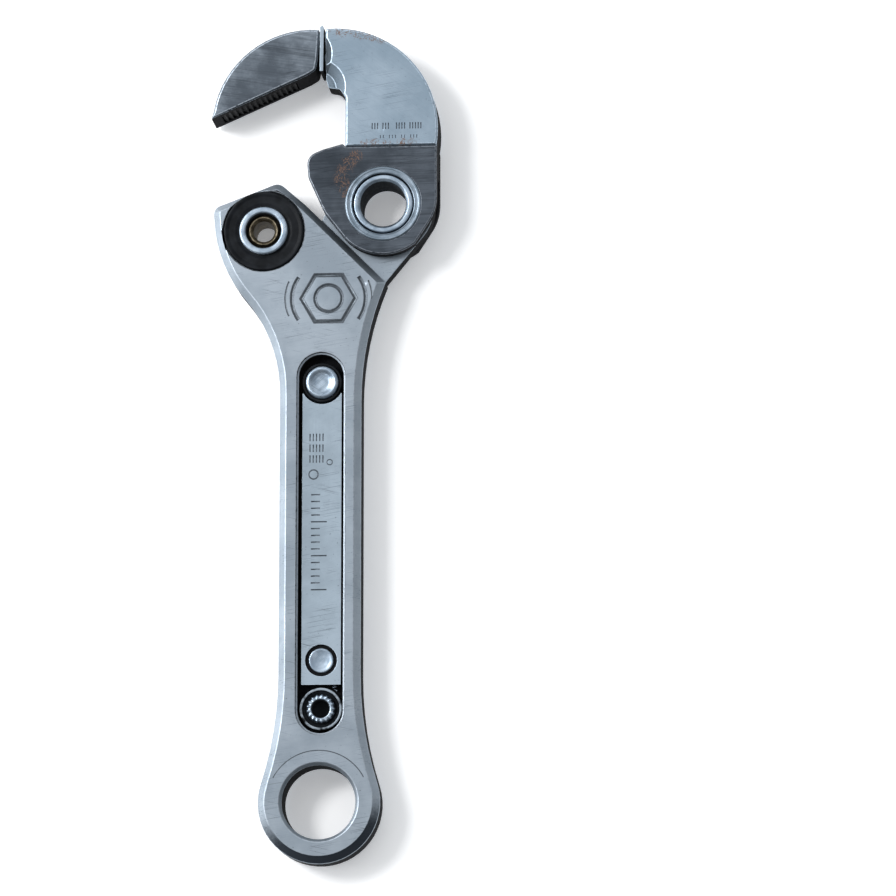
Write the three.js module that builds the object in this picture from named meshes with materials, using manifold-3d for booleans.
// Hooked pipe wrench, 250 mm class, lying on its back with its front face up.
// Millimetres, +Z up, handle along Y with the jaws at +Y.
// Everything is drawn from the centre of the hanging eye, at half thickness,
// and the finished group is then stood on its lowest face, centred on X and Y.
import * as THREE from "three";
import { mergeVertices } from "three/addons/utils/BufferGeometryUtils.js";
import Module from "manifold-3d";

const wasm = await Module();
wasm.setup();

// ---- Driving dimensions ----------------------------------------------------------------

// Layers, as distances from the middle plane. The wrench is the same front and rear.
const HANDLE_HALF = 6;
const WEB_HALF = 1.2;
const TONGUE_HALF = 2.95;
const TANG_HALF = 3.1;
const CHEEK_INNER = 3.15;
const CHEEK_OUTER = 7;
const BOW_HALF = 6.8;
const TIP_HALF = 6.5;

// Handle
const EYE_BORE_R = 10.7;
const EYE_OUTER_R = 17.8;
const EYE_CHAMFER = 0.9;
const SHANK_HALF_WIDTH = 12;
const EDGE_CHAMFER = 2;
const FOOT_BLEND_R = 103;
const FOOT_BLEND_Y = 37;
const LEFT_FLARE = { y: 120.3, r: 44, turn: 40, shoulderR: 41, crown: 4 };
const RIGHT_FLARE = { y: 118, r: 91 };
const HEAD_CORNER = [-32.1, 176.3];
const HEEL_CORNER = [-12.6, 183.7];
const THROAT_CORNER_X = -4.6;

// Slot for the lock slider
const SLOT = { x: 0.3, half: 7.1, inner: 6.6, ledge: 0.9, top: 125, bottom: 26.6 };

// Pivot of the hook
const PIVOT = [18.5, 176.2];
const PIVOT_TUBE_R = 8.75;
const PIVOT_FIT = 0.08;
const RING_INNER_R = 9.1;
const RING_SEAT = 1.2;
const PIVOT_BORE_R = 6.7;
const PIVOT_RING_R = 11.2;
const TONGUE_R = 14.8;
const TANG_R = 15.4;
const CHEEK_R = 15.3;
const DIAGONAL_CLEARANCE = 16;
const STOP_PIN = { r: 0.9, at: 12.5, angle: 90, opens: 28, closes: 13 };

// Hook
const BOW_CENTRE = [3.7, 198.9];
const BOW_R = 30.9;
const BOW_END_X = 1.2;
const TIP_CENTRE = [-3.3, 200.6];
const TIP_R = 29.1;
const SHOULDER_Y = 193.7;
const BOW_RIGHT_X = 34.3;
const THROAT_X = 7.2;
const TIP_POINT = [-32.7, 202.9];
const TIP_ROOT = [-4.1, 215.6];
const SHIM = { left: -0.55, right: 0.45, foot: 217, peak: 231 };

// Toothed strips
const STRIP = { pitch: 1.6, half: 4, depth: 2.2, tooth: 0.8, proud: 0 };

// Heel bush, lock slider and end bush, all centred on X_SLIDE
const HEEL = [-16.9, 168.8];
const HEEL_RECESS_R = 12.2;
const HEEL_RECESS_DEPTH = 1.6;
const HEEL_BORE_R = 6;
const X_SLIDE = 0.5;
const BUTTON_Y = 123.3;
const GUIDE_Y = 41.3;
const END_BUSH_Y = 27.1;
const LOCK_TRAVEL = 2;
const BAR = { half: 5.75, bottom: 34.2, top: 120.2, face: 4.5 };
const RUNNING = 0.05;
const BUSH_HOLE_R = 3.3;
const GUIDE_SLOT_R = 2.4;
const RIVET_BORE_R = 2.1;
const RIVET_SINK = { r: 4.65, depth: 0.7 };
const SPRING_GROOVE = { x: 4.4, y: 36.5, z: 2.6, r: 1, length: 14 };

// Every cutter ends this far from the middle plane, clear of both faces.
const THROUGH = 8;

const STEEL_LIGHT = { color: 0xa9bccb, roughness: 0.42, metalness: 0.85 };
const STEEL_DARK = { color: 0x454b54, roughness: 0.45, metalness: 0.85 };
const STEEL_BRIGHT = { color: 0xd5dde4, roughness: 0.25, metalness: 1 };
const BLACKENED = { color: 0x15171b, roughness: 0.55, metalness: 0.3 };
const BRONZE = { color: 0x8a7a62, roughness: 0.4, metalness: 1 };

// ---- Outline and solid helpers ---------------------------------------------------------

const rad = (degrees) => (degrees * Math.PI) / 180;
const CHORD_SAG = 0.035;

function polar(centre, r, degrees) {
  return [centre[0] + r * Math.cos(rad(degrees)), centre[1] + r * Math.sin(rad(degrees))];
}

// Points along an arc, close enough together that no chord sags more than CHORD_SAG.
function arc(centre, r, from, to) {
  const step = 2 * Math.acos(1 - CHORD_SAG / Math.max(r, 0.2));
  const count = Math.max(3, Math.ceil(Math.abs(rad(to - from)) / step));
  return Array.from({ length: count + 1 }, (_, i) =>
    polar(centre, r, from + ((to - from) * i) / count),
  );
}

// A closed outline whose points [x, y, r] are rounded to the radius r where one is given.
function rounded(points) {
  const shape = [];
  points.forEach(([x, y, r], i) => {
    if (!r) {
      shape.push([x, y]);
      return;
    }
    const here = new THREE.Vector2(x, y);
    const towards = (p) => new THREE.Vector2(p[0], p[1]).sub(here).normalize();
    const back = towards(points.at(i - 1));
    const ahead = towards(points[(i + 1) % points.length]);
    const half = Math.acos(THREE.MathUtils.clamp(back.dot(ahead), -1, 1)) / 2;
    const centre = back.clone().add(ahead).normalize().multiplyScalar(r / Math.sin(half)).add(here);
    const start = here.clone().addScaledVector(back, r / Math.tan(half)).sub(centre);
    const end = here.clone().addScaledVector(ahead, r / Math.tan(half)).sub(centre);
    const from = (start.angle() * 180) / Math.PI;
    const turn = (Math.atan2(start.cross(end), start.dot(end)) * 180) / Math.PI;
    shape.push(...arc([centre.x, centre.y], r, from, from + turn));
  });
  return shape;
}

// The outline of a slot with round ends, between two centres on a vertical line.
function stadium(x, bottom, top, half) {
  return [...arc([x, top], half, 0, 180), ...arc([x, bottom], half, 180, 360)];
}

// A plate between two heights, with its edges chamfered at both faces.
function plate(outline, low, high, chamfer = 0) {
  const shape = new THREE.Shape(outline.map(([x, y]) => new THREE.Vector2(x, y)));
  const geometry = new THREE.ExtrudeGeometry(shape, {
    depth: high - low - 2 * chamfer,
    bevelEnabled: chamfer > 0,
    bevelThickness: chamfer,
    bevelSize: chamfer,
    bevelOffset: -chamfer,
    bevelSegments: 1,
  });
  return geometry.translate(0, 0, low + chamfer);
}

// A turned piece about a vertical axis; the profile is a closed loop of [radius, height].
function turned(centre, profile, segments = 48) {
  const loop = [...profile, profile[0]].map(([r, z]) => new THREE.Vector2(r, z));
  const geometry = new THREE.LatheGeometry(loop, segments);
  return geometry.rotateX(Math.PI / 2).translate(centre[0], centre[1], 0);
}

function disc(centre, r, low, high, segments = 48) {
  return plate(arc(centre, r, 0, 360 * (1 - 1 / segments)), low, high);
}

// A round bar of radius r between two heights.
function rod(centre, r, low, high, segments = 24) {
  const geometry = new THREE.CylinderGeometry(r, r, high - low, segments);
  return geometry.rotateX(Math.PI / 2).translate(centre[0], centre[1], (low + high) / 2);
}

function solid(geometry) {
  const bare = geometry.clone();
  bare.deleteAttribute("normal");
  bare.deleteAttribute("uv");
  const merged = mergeVertices(bare, 1e-4);
  const made = new wasm.Manifold(
    new wasm.Mesh({
      numProp: 3,
      vertProperties: merged.attributes.position.array,
      triVerts: new Uint32Array(merged.index.array),
    }),
  );
  if (made.volume() > 0) return made;
  const flipped = merged.index.array.map((_, i, all) => all[i - (i % 3) + 2 - (i % 3)]);
  return new wasm.Manifold(
    new wasm.Mesh({
      numProp: 3,
      vertProperties: merged.attributes.position.array,
      triVerts: new Uint32Array(flipped),
    }),
  );
}

const cut = (body, ...tools) => tools.reduce((left, tool) => left.subtract(solid(tool)), body);
const join = (body, ...more) => more.reduce((left, piece) => left.add(solid(piece)), body);

function geometryOf(body) {
  const mesh = body.getMesh();
  const positions = new Float32Array(mesh.numVert * 3);
  for (let i = 0; i < mesh.numVert; i++) {
    positions.set(mesh.vertProperties.subarray(i * mesh.numProp, i * mesh.numProp + 3), i * 3);
  }
  return new THREE.BufferGeometry()
    .setAttribute("position", new THREE.BufferAttribute(positions, 3))
    .setIndex(new THREE.BufferAttribute(mesh.triVerts, 1));
}

const group = new THREE.Group();

function add(name, body, finish) {
  const mesh = new THREE.Mesh(geometryOf(body), new THREE.MeshStandardMaterial(finish));
  mesh.name = name;
  group.add(mesh);
}

// ---- Handle ----------------------------------------------------------------------------

function diagonalPoint(x) {
  return [x, PIVOT[0] + PIVOT[1] - DIAGONAL_CLEARANCE * Math.SQRT2 - x];
}

function handleOutline() {
  const foot = (Math.asin(FOOT_BLEND_Y / (EYE_OUTER_R + FOOT_BLEND_R)) * 180) / Math.PI;
  const footX = SHANK_HALF_WIDTH + FOOT_BLEND_R;
  const rightX = SHANK_HALF_WIDTH + RIGHT_FLARE.r;
  const reach = (rightX + RIGHT_FLARE.y - diagonalPoint(0)[1]) / RIGHT_FLARE.r;
  const turn = (Math.acos(reach / Math.SQRT2) * 180) / Math.PI - 45;
  const left = [-SHANK_HALF_WIDTH - LEFT_FLARE.r, LEFT_FLARE.y];
  const shoulder = polar(left, LEFT_FLARE.r + LEFT_FLARE.shoulderR, LEFT_FLARE.turn);
  const head = rounded([
    diagonalPoint(THROAT_CORNER_X + 5),
    [...diagonalPoint(THROAT_CORNER_X), 3],
    [...HEEL_CORNER, 3],
    [...HEAD_CORNER, 2.6],
    polar(shoulder, LEFT_FLARE.shoulderR, 180 + LEFT_FLARE.crown),
  ]).slice(1, -1);
  return [
    ...arc([0, 0], EYE_OUTER_R, 180 - foot, 360 + foot),
    ...arc([footX, FOOT_BLEND_Y], FOOT_BLEND_R, 180 + foot, 180).slice(1),
    ...arc([rightX, RIGHT_FLARE.y], RIGHT_FLARE.r, 180, 180 - turn),
    ...head,
    ...arc(shoulder, LEFT_FLARE.shoulderR, 180 + LEFT_FLARE.crown, 180 + LEFT_FLARE.turn),
    ...arc(left, LEFT_FLARE.r, LEFT_FLARE.turn, 0).slice(1),
    ...arc([-footX, FOOT_BLEND_Y], FOOT_BLEND_R, 0, -foot).slice(0, -1),
  ];
}

function tongueOutline() {
  return [
    [17.4, 151.4],
    ...arc(PIVOT, TONGUE_R, -39, 154),
    [0, 172.2],
    [-4, 166],
    [4, 152],
  ];
}

// The arc-shaped slot in the tongue that the stop pin runs in.
function stopSlot(half) {
  const low = STOP_PIN.angle - STOP_PIN.opens - 0.5;
  const high = STOP_PIN.angle + STOP_PIN.closes + 0.5;
  return [
    ...arc(PIVOT, STOP_PIN.at + half, low, high),
    ...arc(polar(PIVOT, STOP_PIN.at, high), half, high, high + 180).slice(1, -1),
    ...arc(PIVOT, STOP_PIN.at - half, high, low),
    ...arc(polar(PIVOT, STOP_PIN.at, low), half, low + 180, low + 360).slice(1, -1),
  ];
}

function countersunkBore(centre, r, chamfer, half) {
  const profile = [
    [0, -half - 1],
    [r + chamfer + 1, -half - 1],
    [r, -half + chamfer],
    [r, half - chamfer],
    [r + chamfer + 1, half + 1],
    [0, half + 1],
  ];
  return turned(centre, profile, 56);
}

// A groove along a jaw face, from one end to the other, cut to the strip's depth.
function stripGroove(from, to, into) {
  const along = new THREE.Vector2(to[0] - from[0], to[1] - from[1]).normalize();
  const inward = new THREE.Vector2(-along.y, along.x).multiplyScalar(into);
  const reach = (p, d) => [p[0] + inward.x * d, p[1] + inward.y * d];
  const over = -2 * STRIP.depth;
  return plate(
    [reach(from, over), reach(to, over), reach(to, STRIP.depth), reach(from, STRIP.depth)],
    -STRIP.half,
    STRIP.half,
  );
}

function between(a, b, t) {
  return [a[0] + (b[0] - a[0]) * t, a[1] + (b[1] - a[1]) * t];
}

const HEEL_STRIP = [between(HEEL_CORNER, HEAD_CORNER, 0.16), between(HEEL_CORNER, HEAD_CORNER, 0.86)];
const TIP_STRIP = [between(TIP_POINT, TIP_ROOT, 0.1), between(TIP_POINT, TIP_ROOT, 0.88)];

// A short slot through the web, as long as the lock slider's travel.
function travelSlot(y, half) {
  return plate(stadium(X_SLIDE, y, y + LOCK_TRAVEL, half), -THROUGH, THROUGH);
}

function handle() {
  const slab = solid(plate(handleOutline(), -HANDLE_HALF, HANDLE_HALF, EDGE_CHAMFER));
  const whole = join(slab, plate(tongueOutline(), -TONGUE_HALF, TONGUE_HALF));
  const tools = [
    countersunkBore([0, 0], EYE_BORE_R, EYE_CHAMFER, HANDLE_HALF),
    rod(PIVOT, PIVOT_TUBE_R + PIVOT_FIT, -THROUGH, THROUGH, 48),
    plate(stopSlot(STOP_PIN.r + 0.12), -THROUGH, THROUGH),
    rod(HEEL, HEEL_BORE_R, -THROUGH, THROUGH, 36),
    stripGroove(...HEEL_STRIP, 1),
    rod([X_SLIDE, END_BUSH_Y], BUSH_HOLE_R, -THROUGH, THROUGH, 28),
    travelSlot(BUTTON_Y, BUSH_HOLE_R),
    travelSlot(GUIDE_Y, GUIDE_SLOT_R),
  ];
  const front = [
    plate(stadium(SLOT.x, SLOT.bottom, SLOT.top, SLOT.inner), WEB_HALF, THROUGH),
    plate(stadium(SLOT.x, SLOT.bottom, SLOT.top, SLOT.half), HANDLE_HALF - SLOT.ledge, THROUGH),
    rod(HEEL, HEEL_RECESS_R, HANDLE_HALF - HEEL_RECESS_DEPTH, THROUGH, 48),
    disc(PIVOT, DIAGONAL_CLEARANCE - 0.2, TONGUE_HALF, THROUGH, 90),
  ];
  return cut(whole, ...tools, ...front, ...front.map(mirroredAcross));
}

// The same cutter on the rear face: a mirror image in the middle plane.
function mirroredAcross(geometry) {
  return geometry.clone().scale(1, 1, -1);
}

// ---- Hook ------------------------------------------------------------------------------

function cheekOutline() {
  const right = BOW_RIGHT_X;
  return [
    ...rounded([
      [right, SHOULDER_Y - 0.05],
      [THROAT_X + 0.1, SHOULDER_Y - 0.05],
      [6.4, 194.5],
      [0.5, 192.9, 3],
      [-4.2, 190.9, 3.6],
      [-3.7, 184.4, 4],
      [1.1, 173.8, 8],
      polar(PIVOT, CHEEK_R, 213),
    ]).slice(0, -1),
    ...arc(PIVOT, CHEEK_R, 213, 308),
    ...rounded([
      polar(PIVOT, CHEEK_R, 308),
      [right, 174, 14],
      [right, SHOULDER_Y],
    ]).slice(1, -1),
  ];
}

function tangOutline() {
  return [
    [BOW_RIGHT_X - 0.1, SHOULDER_Y + 3],
    [THROAT_X + 0.5, SHOULDER_Y + 3],
    [THROAT_X, SHOULDER_Y],
    [6, 193.9],
    [0.7, 192.4],
    [-3.5, 190.4],
    [-3.4, 186.4],
    [-2.4, 183.2],
    ...arc(PIVOT, TANG_R, 149, 31),
    [BOW_RIGHT_X - 0.1, 184.5],
  ];
}

function bowOutline() {
  const foot = (Math.asin((SHOULDER_Y + 0.05 - BOW_CENTRE[1]) / BOW_R) * 180) / Math.PI;
  return [
    ...arc(BOW_CENTRE, BOW_R, foot, 94.2),
    ...rounded([
      [BOW_END_X, 228],
      [BOW_END_X, 215, 0.8],
      [1.9, 212.3, 0.9],
      [5.3, 211.7, 1.6],
      [THROAT_X, 208.6, 1.2],
      [THROAT_X, SHOULDER_Y + 0.05],
    ]),
  ];
}

// A cone that grinds a scallop off the face where the bow meets the tip.
function scallop(centre, r, depth) {
  const profile = [
    [0, BOW_HALF - depth],
    [r - depth, BOW_HALF - depth],
    [r + 1, BOW_HALF + 1],
    [0, BOW_HALF + 1],
  ];
  return turned(centre, profile, 72);
}

const DOWELS = [
  { name: "cheek_dowel_outer", at: [29.5, 190.1] },
  { name: "cheek_dowel_middle", at: [9, 190.7] },
  { name: "cheek_dowel_inner", at: [0.6, 187.3] },
];
const DOWEL_R = 1.2;
const DOWEL_HALF = 5.5;
const STOP_AT = polar(PIVOT, STOP_PIN.at, STOP_PIN.angle);
const TIP_DOWEL = { r: 1.5, y: 222.2, left: -7, right: 8 };

function tipDowel(r, left, right) {
  const geometry = new THREE.CylinderGeometry(r, r, right - left, 24);
  return geometry.rotateZ(Math.PI / 2).translate((left + right) / 2, TIP_DOWEL.y, 0);
}

function bow() {
  const body = solid(plate(bowOutline(), -BOW_HALF, BOW_HALF, 0.5));
  const whole = join(body, plate(tangOutline(), -TANG_HALF, TANG_HALF));
  const front = [scallop([-5.3, 222], 8.5, 2.4), scallop([-1.2, 211.9], 8.4, 3)];
  const holes = DOWELS.map((dowel) => rod(dowel.at, DOWEL_R + RUNNING, -THROUGH, THROUGH));
  const socket = tipDowel(TIP_DOWEL.r + RUNNING, 0, TIP_DOWEL.right + 0.5);
  return cut(whole, ...front, ...front.map(mirroredAcross), ...holes, socket);
}

function cheek(side) {
  const body = solid(plate(cheekOutline(), CHEEK_INNER, CHEEK_OUTER, 0.4));
  const holes = DOWELS.map((dowel) => rod(dowel.at, DOWEL_R + RUNNING, 0, DOWEL_HALF + 0.1));
  const ringSeat = rod(PIVOT, PIVOT_RING_R + RUNNING, CHEEK_INNER + RING_SEAT, THROUGH, 48);
  const bore = rod(PIVOT, RING_INNER_R, 0, THROUGH, 48);
  const stop = rod(STOP_AT, STOP_PIN.r + RUNNING, 0, DOWEL_HALF - 0.9);
  const made = cut(body, ringSeat, bore, stop, ...holes);
  return side > 0 ? made : made.mirror([0, 0, 1]);
}

function tipOutline() {
  return [
    ...arc(TIP_CENTRE, TIP_R, 85.2, 171),
    ...rounded([
      TIP_POINT,
      [...TIP_ROOT, 1.5],
      [-1.7, 217.1, 1.5],
      [-1.1, 220.4],
      [SHIM.left - 0.05, 228.2],
    ]),
  ];
}

function tip() {
  const body = solid(plate(tipOutline(), -TIP_HALF, TIP_HALF, 0.6));
  const socket = tipDowel(TIP_DOWEL.r + RUNNING, TIP_DOWEL.left - 0.5, 4);
  return cut(body, socket, stripGroove(TIP_STRIP[0], TIP_STRIP[1], 1));
}

function shim() {
  const outline = [
    [SHIM.left, SHIM.foot],
    [SHIM.right, SHIM.foot],
    [SHIM.right + 0.2, SHIM.peak - 2],
    [SHIM.right + 0.2, SHIM.peak - 0.8],
    [SHIM.right - 0.2, SHIM.peak],
    [SHIM.left, SHIM.peak - 0.6],
  ];
  return cut(solid(plate(outline, -5.9, 5.9)), tipDowel(TIP_DOWEL.r + RUNNING, -4, 4));
}

// A strip of saw teeth that fills a jaw's groove; its crests stand a little proud of the jaw.
function toothStrip(from, to, into) {
  const along = new THREE.Vector2(to[0] - from[0], to[1] - from[1]);
  const length = along.length() - 2 * RUNNING;
  along.normalize();
  const inward = new THREE.Vector2(-along.y, along.x).multiplyScalar(into);
  const at = (s, d) => [
    from[0] + along.x * s + inward.x * d,
    from[1] + along.y * s + inward.y * d,
  ];
  const teeth = Math.floor(length / STRIP.pitch);
  const pitch = length / teeth;
  const outline = [];
  for (let i = 0; i < teeth; i++) {
    outline.push(at(RUNNING + i * pitch, STRIP.tooth - STRIP.proud));
    outline.push(at(RUNNING + (i + 0.75) * pitch, -STRIP.proud));
  }
  outline.push(at(RUNNING + length, STRIP.tooth - STRIP.proud));
  outline.push(at(RUNNING + length, STRIP.depth - RUNNING), at(RUNNING, STRIP.depth - RUNNING));
  const half = STRIP.half - RUNNING;
  return solid(plate(outline, -half, half));
}

function hookParts() {
  add("hook_bow", bow(), STEEL_LIGHT);
  add("jaw_tip", tip(), STEEL_DARK);
  add("tip_shim", shim(), BLACKENED);
  add("tip_dowel", solid(tipDowel(TIP_DOWEL.r, TIP_DOWEL.left, TIP_DOWEL.right)), STEEL_BRIGHT);
  add("tip_tooth_strip", toothStrip(TIP_STRIP[0], TIP_STRIP[1], 1), STEEL_DARK);
  add("front_cheek", cheek(1), STEEL_DARK);
  add("rear_cheek", cheek(-1), STEEL_DARK);
  add("stop_pin", solid(rod(STOP_AT, STOP_PIN.r, -DOWEL_HALF + 1, DOWEL_HALF - 1)), STEEL_BRIGHT);
  for (const dowel of DOWELS) {
    add(dowel.name, solid(rod(dowel.at, DOWEL_R, -DOWEL_HALF, DOWEL_HALF)), STEEL_BRIGHT);
  }
}

// ---- Pivot -----------------------------------------------------------------------------

function pivotRing() {
  const inner = RING_INNER_R;
  const outer = PIVOT_RING_R;
  const low = CHEEK_INNER + RING_SEAT + RUNNING;
  const high = CHEEK_OUTER + 0.25;
  return turned(
    PIVOT,
    [[inner, low], [outer, low], [outer, high - 0.3], [outer - 0.3, high], [inner + 0.3, high],
      [inner, high - 0.3]],
    48,
  );
}

function pivotTube() {
  const high = CHEEK_OUTER + 0.05;
  const bore = PIVOT_BORE_R;
  const half = [[bore, high - 0.8], [bore + 0.8, high], [PIVOT_TUBE_R - 0.3, high],
    [PIVOT_TUBE_R, high - 0.3]];
  const below = half.map(([r, z]) => [r, -z]).reverse();
  return turned(PIVOT, [...half.reverse(), ...below.reverse()], 48);
}

function pivotParts() {
  add("pivot_tube", solid(pivotTube()), STEEL_BRIGHT);
  add("pivot_ring_front", solid(pivotRing()), STEEL_BRIGHT);
  add("pivot_ring_rear", solid(mirroredAcross(pivotRing())), STEEL_BRIGHT);
}

// ---- Heel bush -------------------------------------------------------------------------

function heelWasher() {
  const low = HANDLE_HALF - HEEL_RECESS_DEPTH + 0.02;
  return turned(
    HEEL,
    [[6.1, low], [11.9, low], [11.9, 5.6], [11.2, 6.1], [8.4, 5.9], [7.6, 5.5], [6.1, 5.5]],
    36,
  );
}

// A tube rolled over the washer at both ends.
function heelEyelet() {
  const face = 6.9;
  const lip = [[5.2, face - 0.4], [5.6, face], [6.8, face], [7.2, face - 0.4], [7.2, 5.55],
    [5.9, 5.55]];
  const other = lip.map(([r, z]) => [r, -z]).reverse();
  return turned(HEEL, [...lip, ...other], 36);
}

function heelCore() {
  const face = 6.2;
  return turned(
    HEEL,
    [[3.1, -face + 1.4], [4.3, -face], [4.7, -face], [5.1, -face + 0.4], [5.1, face - 0.4],
      [4.7, face], [4.3, face], [3.1, face - 1.4]],
    28,
  );
}

function heelParts() {
  add("heel_washer_front", solid(heelWasher()), BLACKENED);
  add("heel_washer_rear", solid(mirroredAcross(heelWasher())), BLACKENED);
  add("heel_eyelet", solid(heelEyelet()), STEEL_BRIGHT);
  add("heel_core_tube", solid(heelCore()), BRONZE);
  add("heel_tooth_strip", toothStrip(HEEL_STRIP[0], HEEL_STRIP[1], 1), STEEL_DARK);
}

// ---- Lock slider in the handle's slot --------------------------------------------------

const COLLAR_R = 6.2;
const COLLAR_NECK_R = 3;
const BUTTON_R = 4.95;
const BUTTON_AT = [X_SLIDE, BUTTON_Y];
const GUIDE_AT = [X_SLIDE, GUIDE_Y];
const BAR_LOW = WEB_HALF + RUNNING;

// The bar's outline: square at the foot, hollowed round the button's collar at the top.
function barOutline() {
  const left = X_SLIDE - BAR.half;
  const right = X_SLIDE + BAR.half;
  const top = BAR.top;
  const rise = Math.sqrt((COLLAR_R + 0.15) ** 2 - (BUTTON_Y - top) ** 2);
  const edge = (Math.asin((BUTTON_Y - top) / (COLLAR_R + 0.15)) * 180) / Math.PI;
  const hollow = rise < BAR.half ? arc(BUTTON_AT, COLLAR_R + 0.15, -edge, -180 + edge) : [];
  return [[left, BAR.bottom], [right, BAR.bottom], [right, top], ...hollow, [left, top]];
}

function slideBar() {
  const body = solid(plate(barOutline(), BAR_LOW, BAR.face));
  const { x, y, z, r, length } = SPRING_GROOVE;
  const groove = new THREE.CylinderGeometry(r, r, length, 20).translate(x, y, z);
  const sink = rod(GUIDE_AT, RIVET_SINK.r, BAR.face - RIVET_SINK.depth, THROUGH, 48);
  return cut(body, sink, rod(GUIDE_AT, RIVET_BORE_R, 0, THROUGH), groove);
}

function keeperBar() {
  const outline = stadium(X_SLIDE, GUIDE_Y - 1.1, BUTTON_Y, BAR.half);
  const body = solid(plate(outline, -BAR.face, -BAR_LOW, 0.3));
  const collarHole = rod(BUTTON_AT, COLLAR_NECK_R + RUNNING, -THROUGH, 0, 32);
  return cut(body, rod(GUIDE_AT, RIVET_BORE_R, -THROUGH, 0), collarHole);
}

function guideRivet() {
  const top = BAR.face - 0.15;
  return turned(
    GUIDE_AT,
    [[0, -BAR.face - 0.7], [3, -BAR.face - 0.7], [3.5, -BAR.face - 0.05], [2.05, -BAR.face - 0.05],
      [2.05, BAR.face - 0.68], [3.65, BAR.face - 0.68], [3.65, top - 0.2], [3.4, top], [0, top]],
    24,
  );
}

// The collar stands on the web's slot and is rolled over the keeper bar at the rear.
function buttonCollar() {
  const rear = -BAR.face - 0.6;
  return turned(
    BUTTON_AT,
    [[2.5, rear], [4, rear], [4, -BAR.face - 0.05], [COLLAR_NECK_R, -BAR.face - 0.05],
      [COLLAR_NECK_R, BAR_LOW],
      [COLLAR_R, BAR_LOW], [COLLAR_R, 4.3], [COLLAR_R - 0.4, 4.7], [BUTTON_R + 0.15, 4.7],
      [BUTTON_R + 0.15, 2.1], [2.5, 2.1]],
    36,
  );
}

function thumbButton() {
  const crown = 5.7;
  return turned(
    BUTTON_AT,
    [[0, -4.6], [1.2, -4.6], [1.2, -4.1], [0.9, -4.1], [0.9, -3.7], [1.2, -3.7], [1.2, 3.9],
      [BUTTON_R, 3.9], [BUTTON_R, 4.9], [BUTTON_R - 0.3, 5.35], [BUTTON_R - 0.85, crown],
      [BUTTON_R - 1.85, crown - 0.05], [1.4, crown - 0.3], [0, crown - 0.35]],
    28,
  );
}

function coil(centre, r, wire, low, high, turns) {
  const points = [];
  const perTurn = 8;
  for (let i = 0; i <= turns * perTurn; i++) {
    const t = i / (turns * perTurn);
    const angle = 2 * Math.PI * turns * t;
    const height = low + wire + (high - low - 2 * wire) * t;
    points.push(new THREE.Vector3(r * Math.cos(angle), r * Math.sin(angle), height));
  }
  const path = new THREE.CatmullRomCurve3(points);
  const sides = 5;
  const corners = Array.from({ length: sides }, (_, i) => polar([0, 0], wire, (360 / sides) * i));
  const section = new THREE.Shape(corners.map(([x, y]) => new THREE.Vector2(x, y)));
  const steps = turns * perTurn;
  const geometry = new THREE.ExtrudeGeometry(section, { steps, extrudePath: path });
  return geometry.translate(centre[0], centre[1], 0);
}

function buttonClip() {
  return turned(BUTTON_AT, [[0.95, -4.05], [2.1, -4.05], [2.1, -3.75], [0.95, -3.75]], 16);
}

function returnSpring() {
  const spring = coil([0, 0], 0.75, 0.16, 0, 10.6, 9);
  return spring.rotateX(-Math.PI / 2).translate(SPRING_GROOVE.x, 32.4, SPRING_GROOVE.z);
}

function sliderParts() {
  add("slide_bar", slideBar(), STEEL_LIGHT);
  add("keeper_bar", keeperBar(), STEEL_LIGHT);
  add("guide_rivet", solid(guideRivet()), STEEL_BRIGHT);
  add("button_collar", solid(buttonCollar()), BLACKENED);
  add("thumb_button", solid(thumbButton()), STEEL_BRIGHT);
  add("button_spring", solid(coil(BUTTON_AT, 1.9, 0.22, 2.15, 3.85, 3)), STEEL_BRIGHT);
  add("button_clip", solid(buttonClip()), STEEL_BRIGHT);
  add("return_spring", solid(returnSpring()), STEEL_BRIGHT);
}

// ---- End bush --------------------------------------------------------------------------

const END_AT = [X_SLIDE, END_BUSH_Y];

function endWasher() {
  return turned(
    END_AT,
    [[BUSH_HOLE_R, WEB_HALF + 0.02], [6.2, WEB_HALF + 0.02], [6.2, 4.5], [5.9, 4.8], [5.5, 4.8],
      [5.2, 4.2], [BUSH_HOLE_R, 3.6]],
    36,
  );
}

// A semi-tubular rivet: solid head at the rear, hollow end rolled over the front cup.
function endRivet() {
  const crown = [[2.6, 5.3], [2.9, 5.6], [3.8, 5.6], [4.2, 5.2], [4.2, 4.15], [3.2, 4.1]];
  const head = [[3.2, -4.15], [4.2, -4.2], [4.2, -4.8], [3.6, -5.1], [0, -5.1]];
  const bore = [[0, -1], [2.6, -0.2]];
  return turned(END_AT, [...crown, ...head, ...bore], 28);
}

function endBushParts() {
  add("end_washer_front", solid(endWasher()), BLACKENED);
  add("end_washer_rear", solid(mirroredAcross(endWasher())), BLACKENED);
  add("end_rivet", solid(endRivet()), STEEL_BRIGHT);
}

// ---- The whole wrench ------------------------------------------------------------------

add("handle", handle(), STEEL_LIGHT);
hookParts();
pivotParts();
heelParts();
sliderParts();
endBushParts();

const bounds = new THREE.Box3().setFromObject(group);
const middle = bounds.getCenter(new THREE.Vector3());
group.position.set(-middle.x, -middle.y, -bounds.min.z);

export default group;
